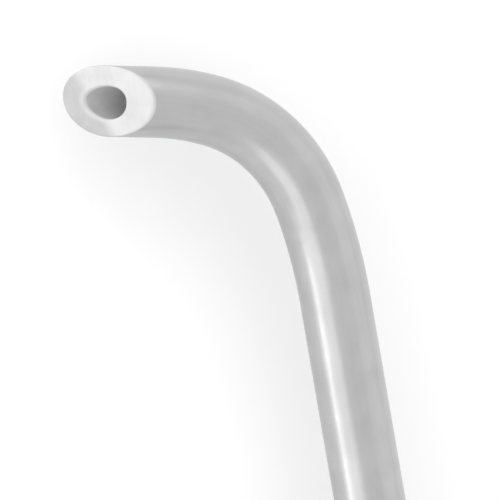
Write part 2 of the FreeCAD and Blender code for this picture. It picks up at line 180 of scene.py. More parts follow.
class NippleSizes(PropertyGroup):
    """The barbed hose nipple with its collar."""

    seat: length("Seat", "Length of the plain seat", 4.5 * MM)
    radius: length("Radius", "Radius of the plain seat", 3.3 * MM)
    seat_lead: length("Seat lead", "Length of the cone that leads up to the seat", 0.5 * MM)
    bore: length("Bore", "Radius of the bore", 1.8 * MM)
    lead: length("Lead", "Length of the lead-in cone at the free end", 1.5 * MM)
    end_drop: length("End drop", "How far the lead-in cone falls", 0.45 * MM)
    barbs: count("Barbs", "Number of barbs", 4)
    barb_drop: length("Barb drop", "How far the barbs lie below the seat", 0.2 * MM)
    barb_depth: length("Barb depth", "Depth of the step behind each barb", 0.5 * MM)
    countersink: length("Countersink", "Countersink at the free end", 0.4 * MM)
    collar: length("Collar", "Length of the collar that stops the hose", 2.5 * MM)
    collar_rise: length("Collar rise", "Height of the collar above the seat", 0.5 * MM)
    spigot: length("Spigot", "Radius of the spigot inside the handle", 2.7 * MM)
    edge: length("Edge", "Rounding of the turned edges", 0.06 * MM)
    turns: count("Turns", "Faces round the nipple", 160)


class SteelFinish(PropertyGroup):
    """Colours and roughness of the steels and the braze."""

    tube: colour("Tube", "Satin steel of the drawn tube", (0.475, 0.475, 0.475))
    face: colour("Mouth face", "Freshly ground steel of the mouth's face", (0.605, 0.605, 0.605))
    # Painted shade: the blunted point of the mouth's face gets a darker copy of the face's steel, which
    # stands in for the shade it lies in.
    blunt_painted_shade: colour("Blunted point", "Ground steel of the mouth's blunted point", (0.462, 0.462, 0.462))
    bore: colour("Bore", "Dull steel inside the tube", (0.62, 0.62, 0.62))
    turned: colour("Turned steel", "Nose and nipple", (0.57, 0.57, 0.57))
    milled: colour("Milled steel", "Handle", (0.55, 0.55, 0.55))
    braze: colour("Braze", "Silver braze at the nose", (0.62, 0.61, 0.57))
    worn: colour("Worn edge", "Steel where edges are rubbed bright", (0.7, 0.7, 0.7))
    marks: share("Tool marks", "How far the tool marks change the tone", 0.06)
    clouds: share("Clouds", "How far handling and cleaning change the tone", 0.08)
    braze_clouds: share("Braze clouds", "How uneven the braze's tone is", 0.25)
    tube_roughness: share("Tube roughness", "Roughness of the satin tube", 0.3)
    face_roughness: share("Face roughness", "Roughness of the mouth's ground face", 0.55)
    bore_roughness: share("Bore roughness", "Roughness of the steel inside the tube", 0.9)
    nose_roughness: share("Nose roughness", "Roughness of the turned nose", 0.26)
    nipple_roughness: share("Nipple roughness", "Roughness of the turned nipple", 0.28)
    milled_roughness: share("Milled roughness", "Roughness of the milled handle", 0.3)
    braze_roughness: share("Braze roughness", "Roughness of the braze", 0.24)


class StageLook(PropertyGroup):
    """Floor, world, lamps and camera."""

    floor: colour("Floor", "Pale floor", (0.97, 0.97, 0.97))
    floor_size: length("Floor size", "Half of the floor's width", 40.0)
    world: share("World", "Strength of the plain light from all round", 1.0)
    side_lamp: share("Side lamp", "Radiance of the low lamp beside the tip", 1.98)
    high_lamp: share("High lamp", "Radiance of the lamp above the side lamp", 0.56)
    front_lamp: share("Front lamp", "Radiance of the lamp in front of the tip", 0.58)
    back_lamp: share("Back lamp", "Radiance of the weak lamp behind the shaft", 0.12)
    lean: angle("Lean", "Camera's lean from straight above towards the tip", 22)
    roll: angle("Roll", "How far the picture is turned", 9.77)
    distance: length("Distance", "Camera to the tip", 400 * MM)
    width: length("Width", "Width of the picture at the tip", 21.15 * MM)
    right: length("Right", "Bend's start from the picture's middle, to the right", 3.603 * MM)
    down: length("Down", "Bend's start from the picture's middle, downwards", 2.06 * MM)


# Mesh helpers

def add_object(bm, name):
    """Makes the bmesh an object of the scene."""
    mesh = bpy.data.meshes.new(name)
    bm.to_mesh(mesh)
    bm.free()
    made = bpy.data.objects.new(name, mesh)
    bpy.context.scene.collection.objects.link(made)
    return made


def mark_sharp(bm, limit=math.radians(32)):
    """Edges that turn by more than the limit keep their crease in the shading."""
    for edge in bm.edges:
        edge.smooth = len(edge.link_faces) == 2 and edge.calc_face_angle(0) < limit


def finish_piece(bm, name, node, material):
    """Makes the bmesh a piece that stands for its CAD node and rides on the one body."""
    mark_sharp(bm)
    bmesh.ops.recalc_face_normals(bm, faces=bm.faces)
    piece = add_object(bm, name)
    piece.data.shade_smooth()
    piece.data.materials.append(material)
    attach(piece, "root")
    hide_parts(node)


def turn_of(place):
    """Angle of a point round the X axis, from +Y towards +Z."""
    return math.atan2(place.z, place.y)


def between(start, end, step):
    """Places between two others, about a step apart, without the two."""
    parts = max(1, round((end - start) / step))
    return [start + (end - start) * i / parts for i in range(1, parts)]


def grow(bm, loop, place):
    """Extrudes a loop of edges once and moves each new corner to where place puts it."""
    made = bmesh.ops.extrude_edge_only(bm, edges=loop)["geom"]
    for corner in made:
        if isinstance(corner, bmesh.types.BMVert):
            corner.co = place(corner.co)
    return [edge for edge in made if isinstance(edge, bmesh.types.BMEdge)]


def turn_profile(corners, turns):
    """A closed body turned about X from (x, radius, rounding) corners."""
    bm = bmesh.new()
    points = [bm.verts.new((x, 0, radius)) for x, radius, _ in corners]
    for first, second in zip(points, points[1:] + points[:1]):
        bm.edges.new((first, second))
    for point, (_, _, rounding) in zip(points, corners):
        if rounding:
            bmesh.ops.bevel(
                bm, geom=[point], offset=rounding, segments=4, profile=0.5,
                affect="VERTICES", material=-1,
            )
    bmesh.ops.spin(
        bm, geom=bm.verts[:] + bm.edges[:], cent=(0, 0, 0), axis=(1, 0, 0),
        angle=math.tau, steps=turns, use_merge=True,
    )
    return bm


# Suction tube

def bend_frame(sizes, along):
    """Centreline point and heading of the bent tube, at a distance along the straight one."""
    start = NOSE_HIGH.x + sizes.shaft
    if along <= start:
        return Vector((along, 0, 0)), 0.0
    point = Vector((start, 0, 0))
    heading = 0.0
    left = along - start
    stages = (
        (sizes.lead_in_radius, sizes.lead_in),
        (sizes.bend_radius, sizes.bend),
        (sizes.lead_out_radius, sizes.lead_out),
    )
    for radius, turned in stages:
        part = min(left / radius, turned)
        centre = point + radius * Vector((-math.sin(heading), math.cos(heading), 0))
        heading += part
        point = centre + radius * Vector((math.sin(heading), -math.cos(heading), 0))
        left -= radius * part
        if left <= 0:
            return point, heading
    return point + left * Vector((math.cos(heading), math.sin(heading), 0)), heading


def bent(sizes, place):
    """Where a point of the straight tube goes when the tube is bent."""
    point, heading = bend_frame(sizes, place.x)
    side = Vector((-math.sin(heading), math.cos(heading), 0))
    return point + side * place.y + UP * place.z


def bend_length(sizes):
    """Length of the three arcs along the centreline."""
    return (
        sizes.lead_in_radius * sizes.lead_in
        + sizes.bend_radius * sizes.bend
        + sizes.lead_out_radius * sizes.lead_out
    )


def bore_at(sizes, turned):
    """A point of the slightly uneven bore, across the straight tube."""
    radius = (
        sizes.bore
        + sizes.bore_oval * math.cos(2 * (turned - sizes.bore_oval_turn))
        + sizes.bore_lobe * math.cos(3 * (turned - sizes.bore_lobe_turn))
    )
    return Vector((
        0,
        sizes.bore_side + radius * math.cos(turned),
        sizes.bore_rise + radius * math.sin(turned),
    ))


def conic(start, corner, end, fullness, step):
    """A point on the rounding between start and end, pulled towards the corner."""
    first = (1 - step) ** 2
    middle = 2 * fullness * step * (1 - step)
    last = step ** 2
    return (start * first + corner * middle + end * last) / (first + middle + last)


def beyond_blunt(sizes, place):
    """How far a point across the tube lies into the mouth's blunted point."""
    way = Vector((0, math.cos(sizes.blunt_turn), math.sin(sizes.blunt_turn)))
    return place.dot(way) - sizes.blunt_start


def mouth_depth(sizes, place):
    """How far the mouth's face stands behind its centre, over a point across the tube."""
    lean = Vector((0, math.sin(sizes.turn), math.cos(sizes.turn)))
    beyond = beyond_blunt(sizes, place)
    fallen = (beyond + math.hypot(beyond, sizes.blunt_blend)) / 2
    return math.tan(sizes.slant) * place.dot(lean) + sizes.blunt_drop * fallen


class LipSection:
    """One cut through the wall at the mouth, in the plane of the tube's axis and one radius."""

    def __init__(self, sizes, turned, centre):
        self.sizes = sizes
        self.centre = centre
        self.outside = Vector((0, math.cos(turned), math.sin(turned))) * sizes.radius
        self.inside = bore_at(sizes, turned)
        self.edge = self.on_face(0)
        self.bore_edge = self.on_face(1)
        wall = (self.bore_edge - self.edge).length
        towards_heel = max(0, math.sin(turned + sizes.turn)) ** 2
        self.rounding = sizes.rim + (sizes.heel - sizes.rim) * towards_heel
        self.start = self.rounding / wall
        self.end = 1 - sizes.bore_rim / wall
        slope = (self.bore_edge.x - self.edge.x) / wall
        turning = math.pi / 2 - math.asin(-slope)
        self.fullness = math.cos(turning / 2)
        self.bore_fullness = math.cos((math.pi - turning) / 2)

    def on_face(self, step):
        """A point of the unrounded face, from the tube's outside to its bore."""
        place = self.outside.lerp(self.inside, step)
        return place + Vector((self.centre - mouth_depth(self.sizes, place), 0, 0))

    def rim(self, step):
        """A point of the rounded outer edge."""
        wall_start = self.edge - Vector((self.rounding, 0, 0))
        return conic(wall_start, self.edge, self.on_face(self.start), self.fullness, step)

    def face(self, step):
        """A point of the face between its two rounded edges."""
        return self.on_face(self.start + (self.end - self.start) * step)

    def bore_rim(self, step):
        """A point of the bore's rounded edge."""
        bore_start = self.bore_edge - Vector((self.sizes.bore_rim, 0, 0))
        return conic(self.on_face(self.end), self.bore_edge, bore_start, self.bore_fullness, step)


def tube_stations(sizes):
    """Distances along the tube at which it has a ring, after its tail and up to the bend's end."""
    shaft_step, bend_step = 4 * MM, 0.16 * MM
    start = NOSE_HIGH.x + sizes.shaft
    end = start + bend_length(sizes)
    return between(sizes.tail, start, shaft_step) + [start, *between(start, end, bend_step), end]


def build_tube(sizes):
    """Drawn straight with its slanted, rounded mouth, then bent."""
    bm = bmesh.new()
    lip = bm.verts.layers.float.new("lip")
    throat = bm.verts.layers.float.new("throat")
    # Mask of the painted shade on the mouth's blunted point.
    painted_shade_mask = bm.verts.layers.float.new("painted_shade_mask")
    straight = bm.verts.layers.float_vector.new("straight_place")
    stations = tube_stations(sizes)
    centre = stations[-1] + sizes.tip
    rim_steps, face_steps, bore_steps = 5, 20, 6
    first = bmesh.ops.create_circle(
        bm, segments=sizes.columns, radius=sizes.radius,
        matrix=Matrix.Translation((sizes.tail, 0, 0)) @ Matrix.Rotation(math.pi / 2, 4, "Y"),
    )["verts"]
    first_loop = loop = bm.edges[:]
    columns = {corner: turn_of(corner.co) for corner in first}
    lips = {corner: LipSection(sizes, columns[corner], centre) for corner in first}
    ring = {corner: corner for corner in first}

    def advance(place, on_lip=0.0, in_throat=0.0):
        """Extrudes the last ring once; place gives each column's new point."""
        nonlocal ring, loop
        made = bmesh.ops.extrude_edge_only(bm, edges=loop)["geom"]
        loop = [part for part in made if isinstance(part, bmesh.types.BMEdge)]
        new = {part for part in made if isinstance(part, bmesh.types.BMVert)}
        moved = {}
        for column, corner in ring.items():
            follower = next(
                edge.other_vert(corner) for edge in corner.link_edges
                if edge.other_vert(corner) in new
            )
            follower.co = place(column)
            follower[lip] = on_lip
            follower[throat] = in_throat
            moved[column] = follower
        ring = moved

    wall = {column: Vector((0, column.co.y, column.co.z)) for column in first}
    for station in stations:
        advance(lambda column, x=station: wall[column] + Vector((x, 0, 0)))
    for i in range(rim_steps + 1):
        step = i / rim_steps
        advance(lambda column, s=step: lips[column].rim(s), on_lip=step)
    for i in range(1, face_steps + 1):
        advance(lambda column, s=i / face_steps: lips[column].face(s), on_lip=1.0)
    for i in range(1, bore_steps + 1):
        step = i / bore_steps
        advance(lambda column, s=step: lips[column].bore_rim(s), on_lip=1, in_throat=step ** 2)
    bore = {column: bore_at(sizes, columns[column]) for column in first}
    for station in reversed(stations):
        advance(lambda column, x=station: bore[column] + Vector((x, 0, 0)), in_throat=1.0)
    advance(lambda column: bore[column] + Vector((sizes.tail, 0, 0)), in_throat=1.0)
    bmesh.ops.bridge_loops(bm, edges=first_loop + loop)
    for corner in bm.verts:
        corner[straight] = corner.co
        across = Vector((0, corner.co.y, corner.co.z))
        wall_left = (across - bore_at(sizes, turn_of(across))).length
        # Painted shade mask: how far the point lies in the mouth's blunted point, where the face is
        # coloured darker.
        corner[painted_shade_mask] = min(1, max(0, 0.5 + beyond_blunt(sizes, across) / sizes.blunt_blend))
        # The painted shade fades out towards the bore, which leaves a painted highlight ring round it.
        corner[painted_shade_mask] *= min(1, wall_left / sizes.painted_highlight_ring)
        corner.co = bent(sizes, corner.co)
    return bm


# Nose and braze

def build_nose(sizes):
    """The turned nose, with its spigot in the handle."""
    back = NOSE_HIGH.y
    front = sizes.bore + sizes.front_wall
    corners = [
        (NOSE_LOW.x, sizes.bore, 0),
        (NOSE_LOW.x, sizes.spigot, sizes.edge / 2),
        (HANDLE_HIGH.x, sizes.spigot, 0),
        (HANDLE_HIGH.x, back, sizes.edge),
        (HANDLE_HIGH.x + sizes.land, back, sizes.edge * 2),
        (NOSE_HIGH.x, front, sizes.edge),
        (NOSE_HIGH.x, sizes.bore, 0),
    ]
    return turn_profile(corners, sizes.turns)


def build_braze(sizes):
    """A hollow fillet between the nose's face and the tube, a little uneven as it froze."""
    leg = BRAZE_HIGH.x - NOSE_HIGH.x
    inside = BRAZE_HIGH.y - leg
    steps = 8
    corners = [(NOSE_HIGH.x, inside, 0)]
    for i in range(steps + 1):
        turned = math.pi + math.pi / 2 * i / steps
        corners.append((
            NOSE_HIGH.x + leg * (1 + math.cos(turned)),
            inside + leg * (1 + math.sin(turned)),
            0,
        ))
    bm = turn_profile(corners[::-1], sizes.turns)
    for corner in bm.verts:
        turned = turn_of(corner.co)
        flow = 1 - sizes.unevenness * (1 + math.sin(2 * turned) * math.cos(3 * turned + 1)) / 2
        across = Vector((0, math.cos(turned), math.sin(turned)))
        root = across * inside + Vector((NOSE_HIGH.x, 0, 0))
        corner.co = root + (corner.co - root) * flow
    return bm


# Handle

# The quarter turn of a rounded edge, in three steps
EDGE_TURNS = [math.pi / 2 * i / 3 for i in range(4)]
# The saddle is in the handle's top, where the sine of the turn is over this
SADDLE_TOP = 0.3


def soft_min(first, second, blend):
    """The smaller of two, with the change from one to the other rounded."""
    overlap = max(blend - abs(first - second), 0) / blend
    return min(first, second) - overlap * overlap * blend / 4


def saddle_height(sizes, x):
    """Height of the thumb saddle's floor above the axis, which is over the handle beyond it."""
    half = sizes.saddle_length / 2
    radius = (half * half + sizes.saddle_depth ** 2) / 2 / sizes.saddle_depth
    out = x - (HANDLE_HIGH.x - sizes.saddle_setback)
    return HANDLE_HIGH.z - sizes.saddle_depth + radius - math.sqrt(radius ** 2 - out ** 2)


def handle_radius(sizes, x, turned):
    """Radius of the handle's skin: flats, turned tapers and the saddle, without the grooves."""
    flat = HANDLE_HIGH.z
    part = math.tau / sizes.sides
    off = abs((turned + part / 2) % part - part / 2)
    radius = soft_min(flat / math.cos(off), flat / math.cos(part - off), sizes.edge)
    full = flat / math.cos(part / 2) - sizes.corner_land
    rise = full - sizes.end
    back = sizes.end + rise * (x - HANDLE_LOW.x) / sizes.back_taper
    front = sizes.end + rise * (HANDLE_HIGH.x - x) / sizes.front_taper
    radius = soft_min(radius, min(back, front, full), sizes.edge)
    near_saddle = abs(x - HANDLE_HIGH.x + sizes.saddle_setback) < sizes.saddle_length
    if near_saddle and math.sin(turned) > SADDLE_TOP:
        radius = soft_min(radius, saddle_height(sizes, x) / math.sin(turned), sizes.edge)
    return radius


def over_edge(x, way, edge):
    """Rings over a rounded edge, from the skin to a wall at x that faces that way."""
    return [
        (x - way * edge * (1 - math.sin(turned)), edge * (1 - math.cos(turned)), None)
        for turned in EDGE_TURNS
    ]


def into_floor(x, way, floor, edge):
    """Rings from a groove's wall at x to its floor; the floor lies that way from the wall."""
    return [
        (x + way * edge * (1 - math.cos(turned)), 0, floor + edge * (1 - math.sin(turned)))
        for turned in EDGE_TURNS
    ]


def skin_rings(start, end, step):
    """Plain rings on the handle's skin, between two places."""
    return [(x, 0, None) for x in between(start, end, step)]


def handle_rings(sizes):
    """(place, inset, own radius) of every ring round the handle, outside and inside."""
    plain, curved, fine, inner = 2 * MM, 0.25 * MM, 0.12 * MM, 6 * MM
    back, front, edge = HANDLE_LOW.x, HANDLE_HIGH.x, sizes.edge
    here = back + sizes.back_taper + edge
    rings = over_edge(back, -1, edge)[::-1] + skin_rings(back + edge, here, fine)
    floor = HANDLE_HIGH.z - sizes.groove_depth
    for i in range(sizes.grooves):
        middle = back + sizes.groove_start + sizes.groove_pitch * i
        near = middle - sizes.groove_width / 2
        far = middle + sizes.groove_width / 2
        rings += skin_rings(here, near - edge, plain)
        rings += over_edge(near, 1, edge) + into_floor(near, 1, floor, edge)
        rings += into_floor(far, -1, floor, edge)[::-1] + over_edge(far, -1, edge)[::-1]
        here = far + edge
    saddle = front - sizes.saddle_setback
    saddle_start = saddle - sizes.saddle_length / 2
    saddle_end = saddle + sizes.saddle_length / 2
    taper = front - sizes.front_taper
    rings += skin_rings(here, saddle_start, plain)
    rings += skin_rings(saddle_start - fine, saddle_end + fine, curved)
    rings += skin_rings(saddle_end + fine, taper, plain)
    rings += skin_rings(taper - fine, front - edge, fine)
    rings += over_edge(front, 1, edge)
    rings += [(front, 0, sizes.socket + edge), (front - edge, 0, sizes.socket)]
    depth = NIPPLE_HIGH.x - back
    rings += [(front - depth, 0, sizes.socket), (front - depth, 0, sizes.channel)]
    rings += [(x, 0, sizes.channel) for x in between(back + depth, front - depth, inner)][::-1]
    rings += [(back + depth, 0, sizes.channel), (back + depth, 0, sizes.socket)]
    rings += [(back + edge, 0, sizes.socket), (back, 0, sizes.socket + edge)]
    return rings


def build_handle(sizes):
    """Skinned ring by ring, outside and in, then cut through for the port."""
    bm = bmesh.new()
    rings = handle_rings(sizes)
    part = math.tau / sizes.sides
    bmesh.ops.create_circle(
        bm, segments=sizes.sides * sizes.flat_columns, radius=sizes.end,
        matrix=Matrix.Rotation(math.pi / 2, 4, "Y"),
    )

    def on_skin(turned, x, inset, own):
        radius = own or handle_radius(sizes, x, turned) - inset
        return Vector((x, radius * math.cos(turned), radius * math.sin(turned)))

    for corner in bm.verts:
        turned = turn_of(corner.co)
        off = (turned + part / 2) % part - part / 2
        even = 2 * off / part
        crowded = (even + math.sin(even * math.pi / 2)) / 2
        corner.co = on_skin(turned - off + crowded * part / 2, *rings[0])
    first = loop = bm.edges[:]
    for ring in rings[1:]:
        loop = grow(bm, loop, lambda co, r=ring: on_skin(turn_of(co), *r))
    bmesh.ops.bridge_loops(bm, edges=first + loop)
    return cut_away(bm, build_port_cutter(sizes))


def build_port_cutter(sizes):
    """What is cut away for the control port: a keyhole that flares out at the saddle."""
    centre = Vector((HANDLE_HIGH.x - sizes.saddle_setback, 0, 0))
    tail = centre + Vector((sizes.port_reach, 0, 0))
    split = sizes.port * (sizes.port - sizes.port_tail) / sizes.port_reach

    def flare(place, level):
        own, radius = centre, sizes.port
        if place.x > (centre.x + tail.x) / 2:
            own, radius = tail, sizes.port_tail
        out = (place - own) * Vector((1, 1, 0))
        height = saddle_height(sizes, own.x) + sizes.port_edge * (2 * level - 1)
        return own + out.normalized() * (radius + 2 * sizes.port_edge * level) + UP * height

    bm = bmesh.new()
    bmesh.ops.create_circle(
        bm, segments=96, radius=sizes.port, cap_ends=True, matrix=Matrix.Translation(centre)
    )
    for corner in bm.verts:
        if corner.co.x > centre.x + split:
            corner.co = tail + (corner.co - centre) * sizes.port_tail / sizes.port
    loop = bm.edges[:]
    for level in (0, 1):
        loop = grow(bm, loop, lambda co, up=level: flare(co, up))
    bmesh.ops.edgeloop_fill(bm, edges=loop)
    return bm


def cut_away(bm, cutter):
    """The first closed bmesh without the space that the second one fills."""
    for closed in (bm, cutter):
        bmesh.ops.recalc_face_normals(closed, faces=closed.faces)
    solid = add_object(bm, "solid")
    tool = add_object(cutter, "tool")
    cut = solid.modifiers.new("cut", "BOOLEAN")
    cut.object = tool
    cut.operation = "DIFFERENCE"
    cut.solver = "EXACT"
    bpy.context.view_layer.update()
    shown = solid.evaluated_get(bpy.context.evaluated_depsgraph_get())
    result = bmesh.new()
    result.from_mesh(shown.to_mesh())
    for thing in (solid, tool):
        bpy.data.objects.remove(thing)
    return result


# Hose nipple

def build_nipple(sizes):
    """The barbed nipple with its collar, and its spigot in the handle."""
    free_end = NIPPLE_LOW.x
    barb = sizes.radius - sizes.barb_drop
    collar = sizes.radius + sizes.collar_rise
    first_step = free_end + sizes.lead
    last_barb = -sizes.seat - sizes.seat_lead
    pitch = (last_barb - first_step) / sizes.barbs
    edge = sizes.edge
    corners = [
        (free_end + sizes.countersink, sizes.bore, 0),
        (free_end, sizes.bore + sizes.countersink, edge),
        (free_end, barb - sizes.end_drop, edge * 2),
    ]
    for i in range(sizes.barbs):
        corners += [
            (first_step + pitch * i, barb, edge),
            (first_step + pitch * i, barb - sizes.barb_depth, edge * 1.5),
        ]
    corners += [
        (last_barb, barb, edge * 2),
        (-sizes.seat, sizes.radius, edge * 2),
        (0, sizes.radius, edge * 1.5),
        (0, collar, edge * 4),
        (sizes.collar, collar, edge * 4),
        (sizes.collar, sizes.spigot, 0),
        (NIPPLE_HIGH.x, sizes.spigot, edge * 2),
        (NIPPLE_HIGH.x, sizes.bore, 0),
    ]
    return turn_profile(corners, sizes.turns)


# Materials

def new_group(name, inputs, outputs):
    """A shader node group with named sockets; gives its tree and the sockets at its two ends."""
    tree = bpy.data.node_groups.new(name, "ShaderNodeTree")
    for label, kind, default in inputs:
        socket = tree.interface.new_socket(name=label, in_out="INPUT", socket_type=kind)
        socket.default_value = default
    for label, kind in outputs:
        tree.interface.new_socket(name=label, in_out="OUTPUT", socket_type=kind)
    return tree, tree.nodes.new("NodeGroupInput").outputs, tree.nodes.new("NodeGroupOutput").inputs


def feed(tree, socket, value):
    """Joins an input to another node's socket, or sets its value."""
    if isinstance(value, bpy.types.NodeSocket):
        tree.links.new(value, socket)
    elif socket.type == "RGBA":
        socket.default_value = (*value, 1)
    else:
        socket.default_value = value


def add_math(tree, operation, first, second):
    """A Math node of two inputs, each a socket or a number; gives its output."""
    node = tree.nodes.new("ShaderNodeMath")
    node.operation = operation
    feed(tree, node.inputs[0], first)
    feed(tree, node.inputs[1], second)
    return node.outputs["Value"]


def add_mix(tree, kind, factor, first, second):
    """A Mix node; factor, first and second are sockets or values. Gives its output."""
    node = tree.nodes.new("ShaderNodeMix")
    node.data_type = kind
    sockets = [socket for socket in node.inputs if socket.enabled]
    for socket, value in zip(sockets, (factor, first, second)):
        feed(tree, socket, value)
    return next(socket for socket in node.outputs if socket.enabled)


def stretch(tree, value, low, high):
    """Map Range from low..high to 0..1, clamped; gives its output."""
    node = tree.nodes.new("ShaderNodeMapRange")
    for name, given in (("Value", value), ("From Min", low), ("From Max", high)):
        feed(tree, node.inputs[name], given)
    return node.outputs["Result"]


def add_noise(tree, **inputs):
    """A Noise Texture node; inputs are sockets or values. Gives its output."""
    node = tree.nodes.new("ShaderNodeTexNoise")
    for name, given in inputs.items():
        feed(tree, node.inputs[name], given)
    return node.outputs["Fac"]


def make_tool_marks():
    """Fine marks; Marks says how many there are to a metre along each axis."""
    tree, ins, outs = new_group(
        "tool_marks",
        (("Vector", "NodeSocketVector", (0, 0, 0)), ("Marks", "NodeSocketVector", (1, 1, 1))),
        (("Mask", "NodeSocketFloat"),),
    )
    scaled = tree.nodes.new("ShaderNodeVectorMath")
    scaled.operation = "MULTIPLY"
    tree.links.new(ins["Vector"], scaled.inputs[0])
    tree.links.new(ins["Marks"], scaled.inputs[1])
    noise = add_noise(tree, Vector=scaled.outputs["Vector"], Scale=1, Detail=4, Roughness=0.6)
    tree.links.new(stretch(tree, noise, 0.25, 0.75), outs["Mask"])
    return tree


def make_cloudy_tone():
    """Slow changes of tone, as handling and cleaning leave them."""
    tree, ins, outs = new_group(
        "cloudy_tone",
        (("Vector", "NodeSocketVector", (0, 0, 0)), ("Scale", "NodeSocketFloat", 300)),
        (("Mask", "NodeSocketFloat"),),
    )
    noise = add_noise(tree, Vector=ins["Vector"], Scale=ins["Scale"], Detail=2, Distortion=0.4)
    tree.links.new(stretch(tree, noise, 0.3, 0.7), outs["Mask"])
    return tree


def make_rubbed_edge():
    """Where an outer edge is rubbed bright, broken up along its length."""
    tree, ins, outs = new_group(
        "rubbed_edge",
        (
            ("Pointiness", "NodeSocketFloat", 0.5),
            ("Start", "NodeSocketFloat", 0.52),
            ("End", "NodeSocketFloat", 0.6),
            ("Vector", "NodeSocketVector", (0, 0, 0)),
        ),
        (("Mask", "NodeSocketFloat"),),
    )
    edge = stretch(tree, ins["Pointiness"], ins["Start"], ins["End"])
    broken = stretch(tree, add_noise(tree, Vector=ins["Vector"], Scale=900, Detail=3), 0.35, 0.55)
    tree.links.new(add_math(tree, "MULTIPLY", edge, broken), outs["Mask"])
    return tree


def make_steel_tone():
    """Colour and roughness of worked steel from its masks."""
    tree, ins, outs = new_group(
        "steel_tone",
        (
            ("Color", "NodeSocketColor", (0.5, 0.5, 0.5, 1)),
            ("Worn Color", "NodeSocketColor", (0.7, 0.7, 0.7, 1)),
            ("Roughness", "NodeSocketFloat", 0.3),
            ("Marks", "NodeSocketFloat", 0.5),
            ("Marks Depth", "NodeSocketFloat", 0.1),
            ("Clouds", "NodeSocketFloat", 0.5),
            ("Clouds Depth", "NodeSocketFloat", 0.1),
            ("Wear", "NodeSocketFloat", 0.0),
        ),
        (("Color", "NodeSocketColor"), ("Roughness", "NodeSocketFloat")),
    )
    tone_smooths, wear_smooths = 0.7, 0.3
    marks = add_math(tree, "SUBTRACT", ins["Marks"], 0.5)
    clouds = add_math(tree, "SUBTRACT", ins["Clouds"], 0.5)
    marks = add_math(tree, "MULTIPLY", marks, ins["Marks Depth"])
    clouds = add_math(tree, "MULTIPLY", clouds, ins["Clouds Depth"])
    change = add_math(tree, "ADD", marks, clouds)
    shaded = tree.nodes.new("ShaderNodeVectorMath")
    shaded.operation = "SCALE"
    tree.links.new(ins["Color"], shaded.inputs[0])
    tree.links.new(add_math(tree, "ADD", change, 1), shaded.inputs["Scale"])
    worn = add_mix(tree, "RGBA", ins["Wear"], shaded.outputs["Vector"], ins["Worn Color"])
    tree.links.new(worn, outs["Color"])
    rougher = add_math(tree, "SUBTRACT", 1, add_math(tree, "MULTIPLY", change, tone_smooths))
    marked = add_math(tree, "MULTIPLY", ins["Roughness"], rougher)
    rubbed = add_math(tree, "SUBTRACT", 1, add_math(tree, "MULTIPLY", ins["Wear"], wear_smooths))
    tree.links.new(add_math(tree, "MULTIPLY", marked, rubbed), outs["Roughness"])
    return tree


SHARED_GROUPS = {
    "tool_marks": make_tool_marks,
    "cloudy_tone": make_cloudy_tone,
    "rubbed_edge": make_rubbed_edge,
    "steel_tone": make_steel_tone,
}


def place_group(tree, name, **inputs):
    """A node of a shared group, which is built the first time; inputs are sockets or values."""
    shared = bpy.data.node_groups.get(name) or SHARED_GROUPS[name]()
    node = tree.nodes.new("ShaderNodeGroup")
    node.node_tree = shared
    for label, value in inputs.items():
        feed(tree, node.inputs[label.replace("_", " ")], value)
    return node.outputs


def attribute(tree, name, output="Fac"):
    """An attribute that the piece's mesh carries."""
    node = tree.nodes.new("ShaderNodeAttribute")
    node.attribute_name = name
    return node.outputs[output]


def object_place(tree):
    """Object coordinates, which are metres in the part's own frame."""
    return tree.nodes.new("ShaderNodeTexCoord").outputs["Object"]


def new_steel(name, edge_tint=1.0):
    """A metal material with its node tree and its shader; edge_tint dims it where it is edge on."""
    material = bpy.data.materials.new(name)
    material.use_nodes = True
    shader = material.node_tree.nodes["Principled BSDF"]
    shader.inputs["Metallic"].default_value = 1
    shader.inputs["Specular Tint"].default_value = (edge_tint, edge_tint, edge_tint, 1)
    return material, material.node_tree, shader


def shade_steel(tree, shader, finish, lines, depth, **tone):
    """Gives the shader its tone, and raises its surface by the lines times depth, in metres."""
    toned = place_group(
        tree, "steel_tone", Worn_Color=finish.worn, Marks=lines, Marks_Depth=finish.marks, **tone
    )
    tree.links.new(toned["Color"], shader.inputs["Base Color"])
    tree.links.new(toned["Roughness"], shader.inputs["Roughness"])
    bump = tree.nodes.new("ShaderNodeBump")
    bump.inputs["Strength"].default_value = 1
    bump.inputs["Distance"].default_value = depth
    tree.links.new(lines, bump.inputs["Height"])
    tree.links.new(bump.outputs["Normal"], shader.inputs["Normal"])


def worked_steel(name, finish, base, roughness, marks, rubbed=True):
    """Turned or milled steel; marks are how many there are to a metre along each axis."""
    material, tree, shader = new_steel(name, edge_tint=0.7)
    place = object_place(tree)
    lines = place_group(tree, "tool_marks", Vector=place, Marks=marks)["Mask"]
    clouds = place_group(tree, "cloudy_tone", Vector=place, Scale=180)["Mask"]
    wear = 0.0
    if rubbed:
        pointiness = tree.nodes.new("ShaderNodeNewGeometry").outputs["Pointiness"]
        wear = place_group(tree, "rubbed_edge", Pointiness=pointiness, Vector=place)["Mask"]
    shade_steel(
        tree, shader, finish, lines, depth=0.002 * MM, Color=base, Roughness=roughness,
        Clouds=clouds, Clouds_Depth=finish.clouds, Wear=wear,
    )
    return material


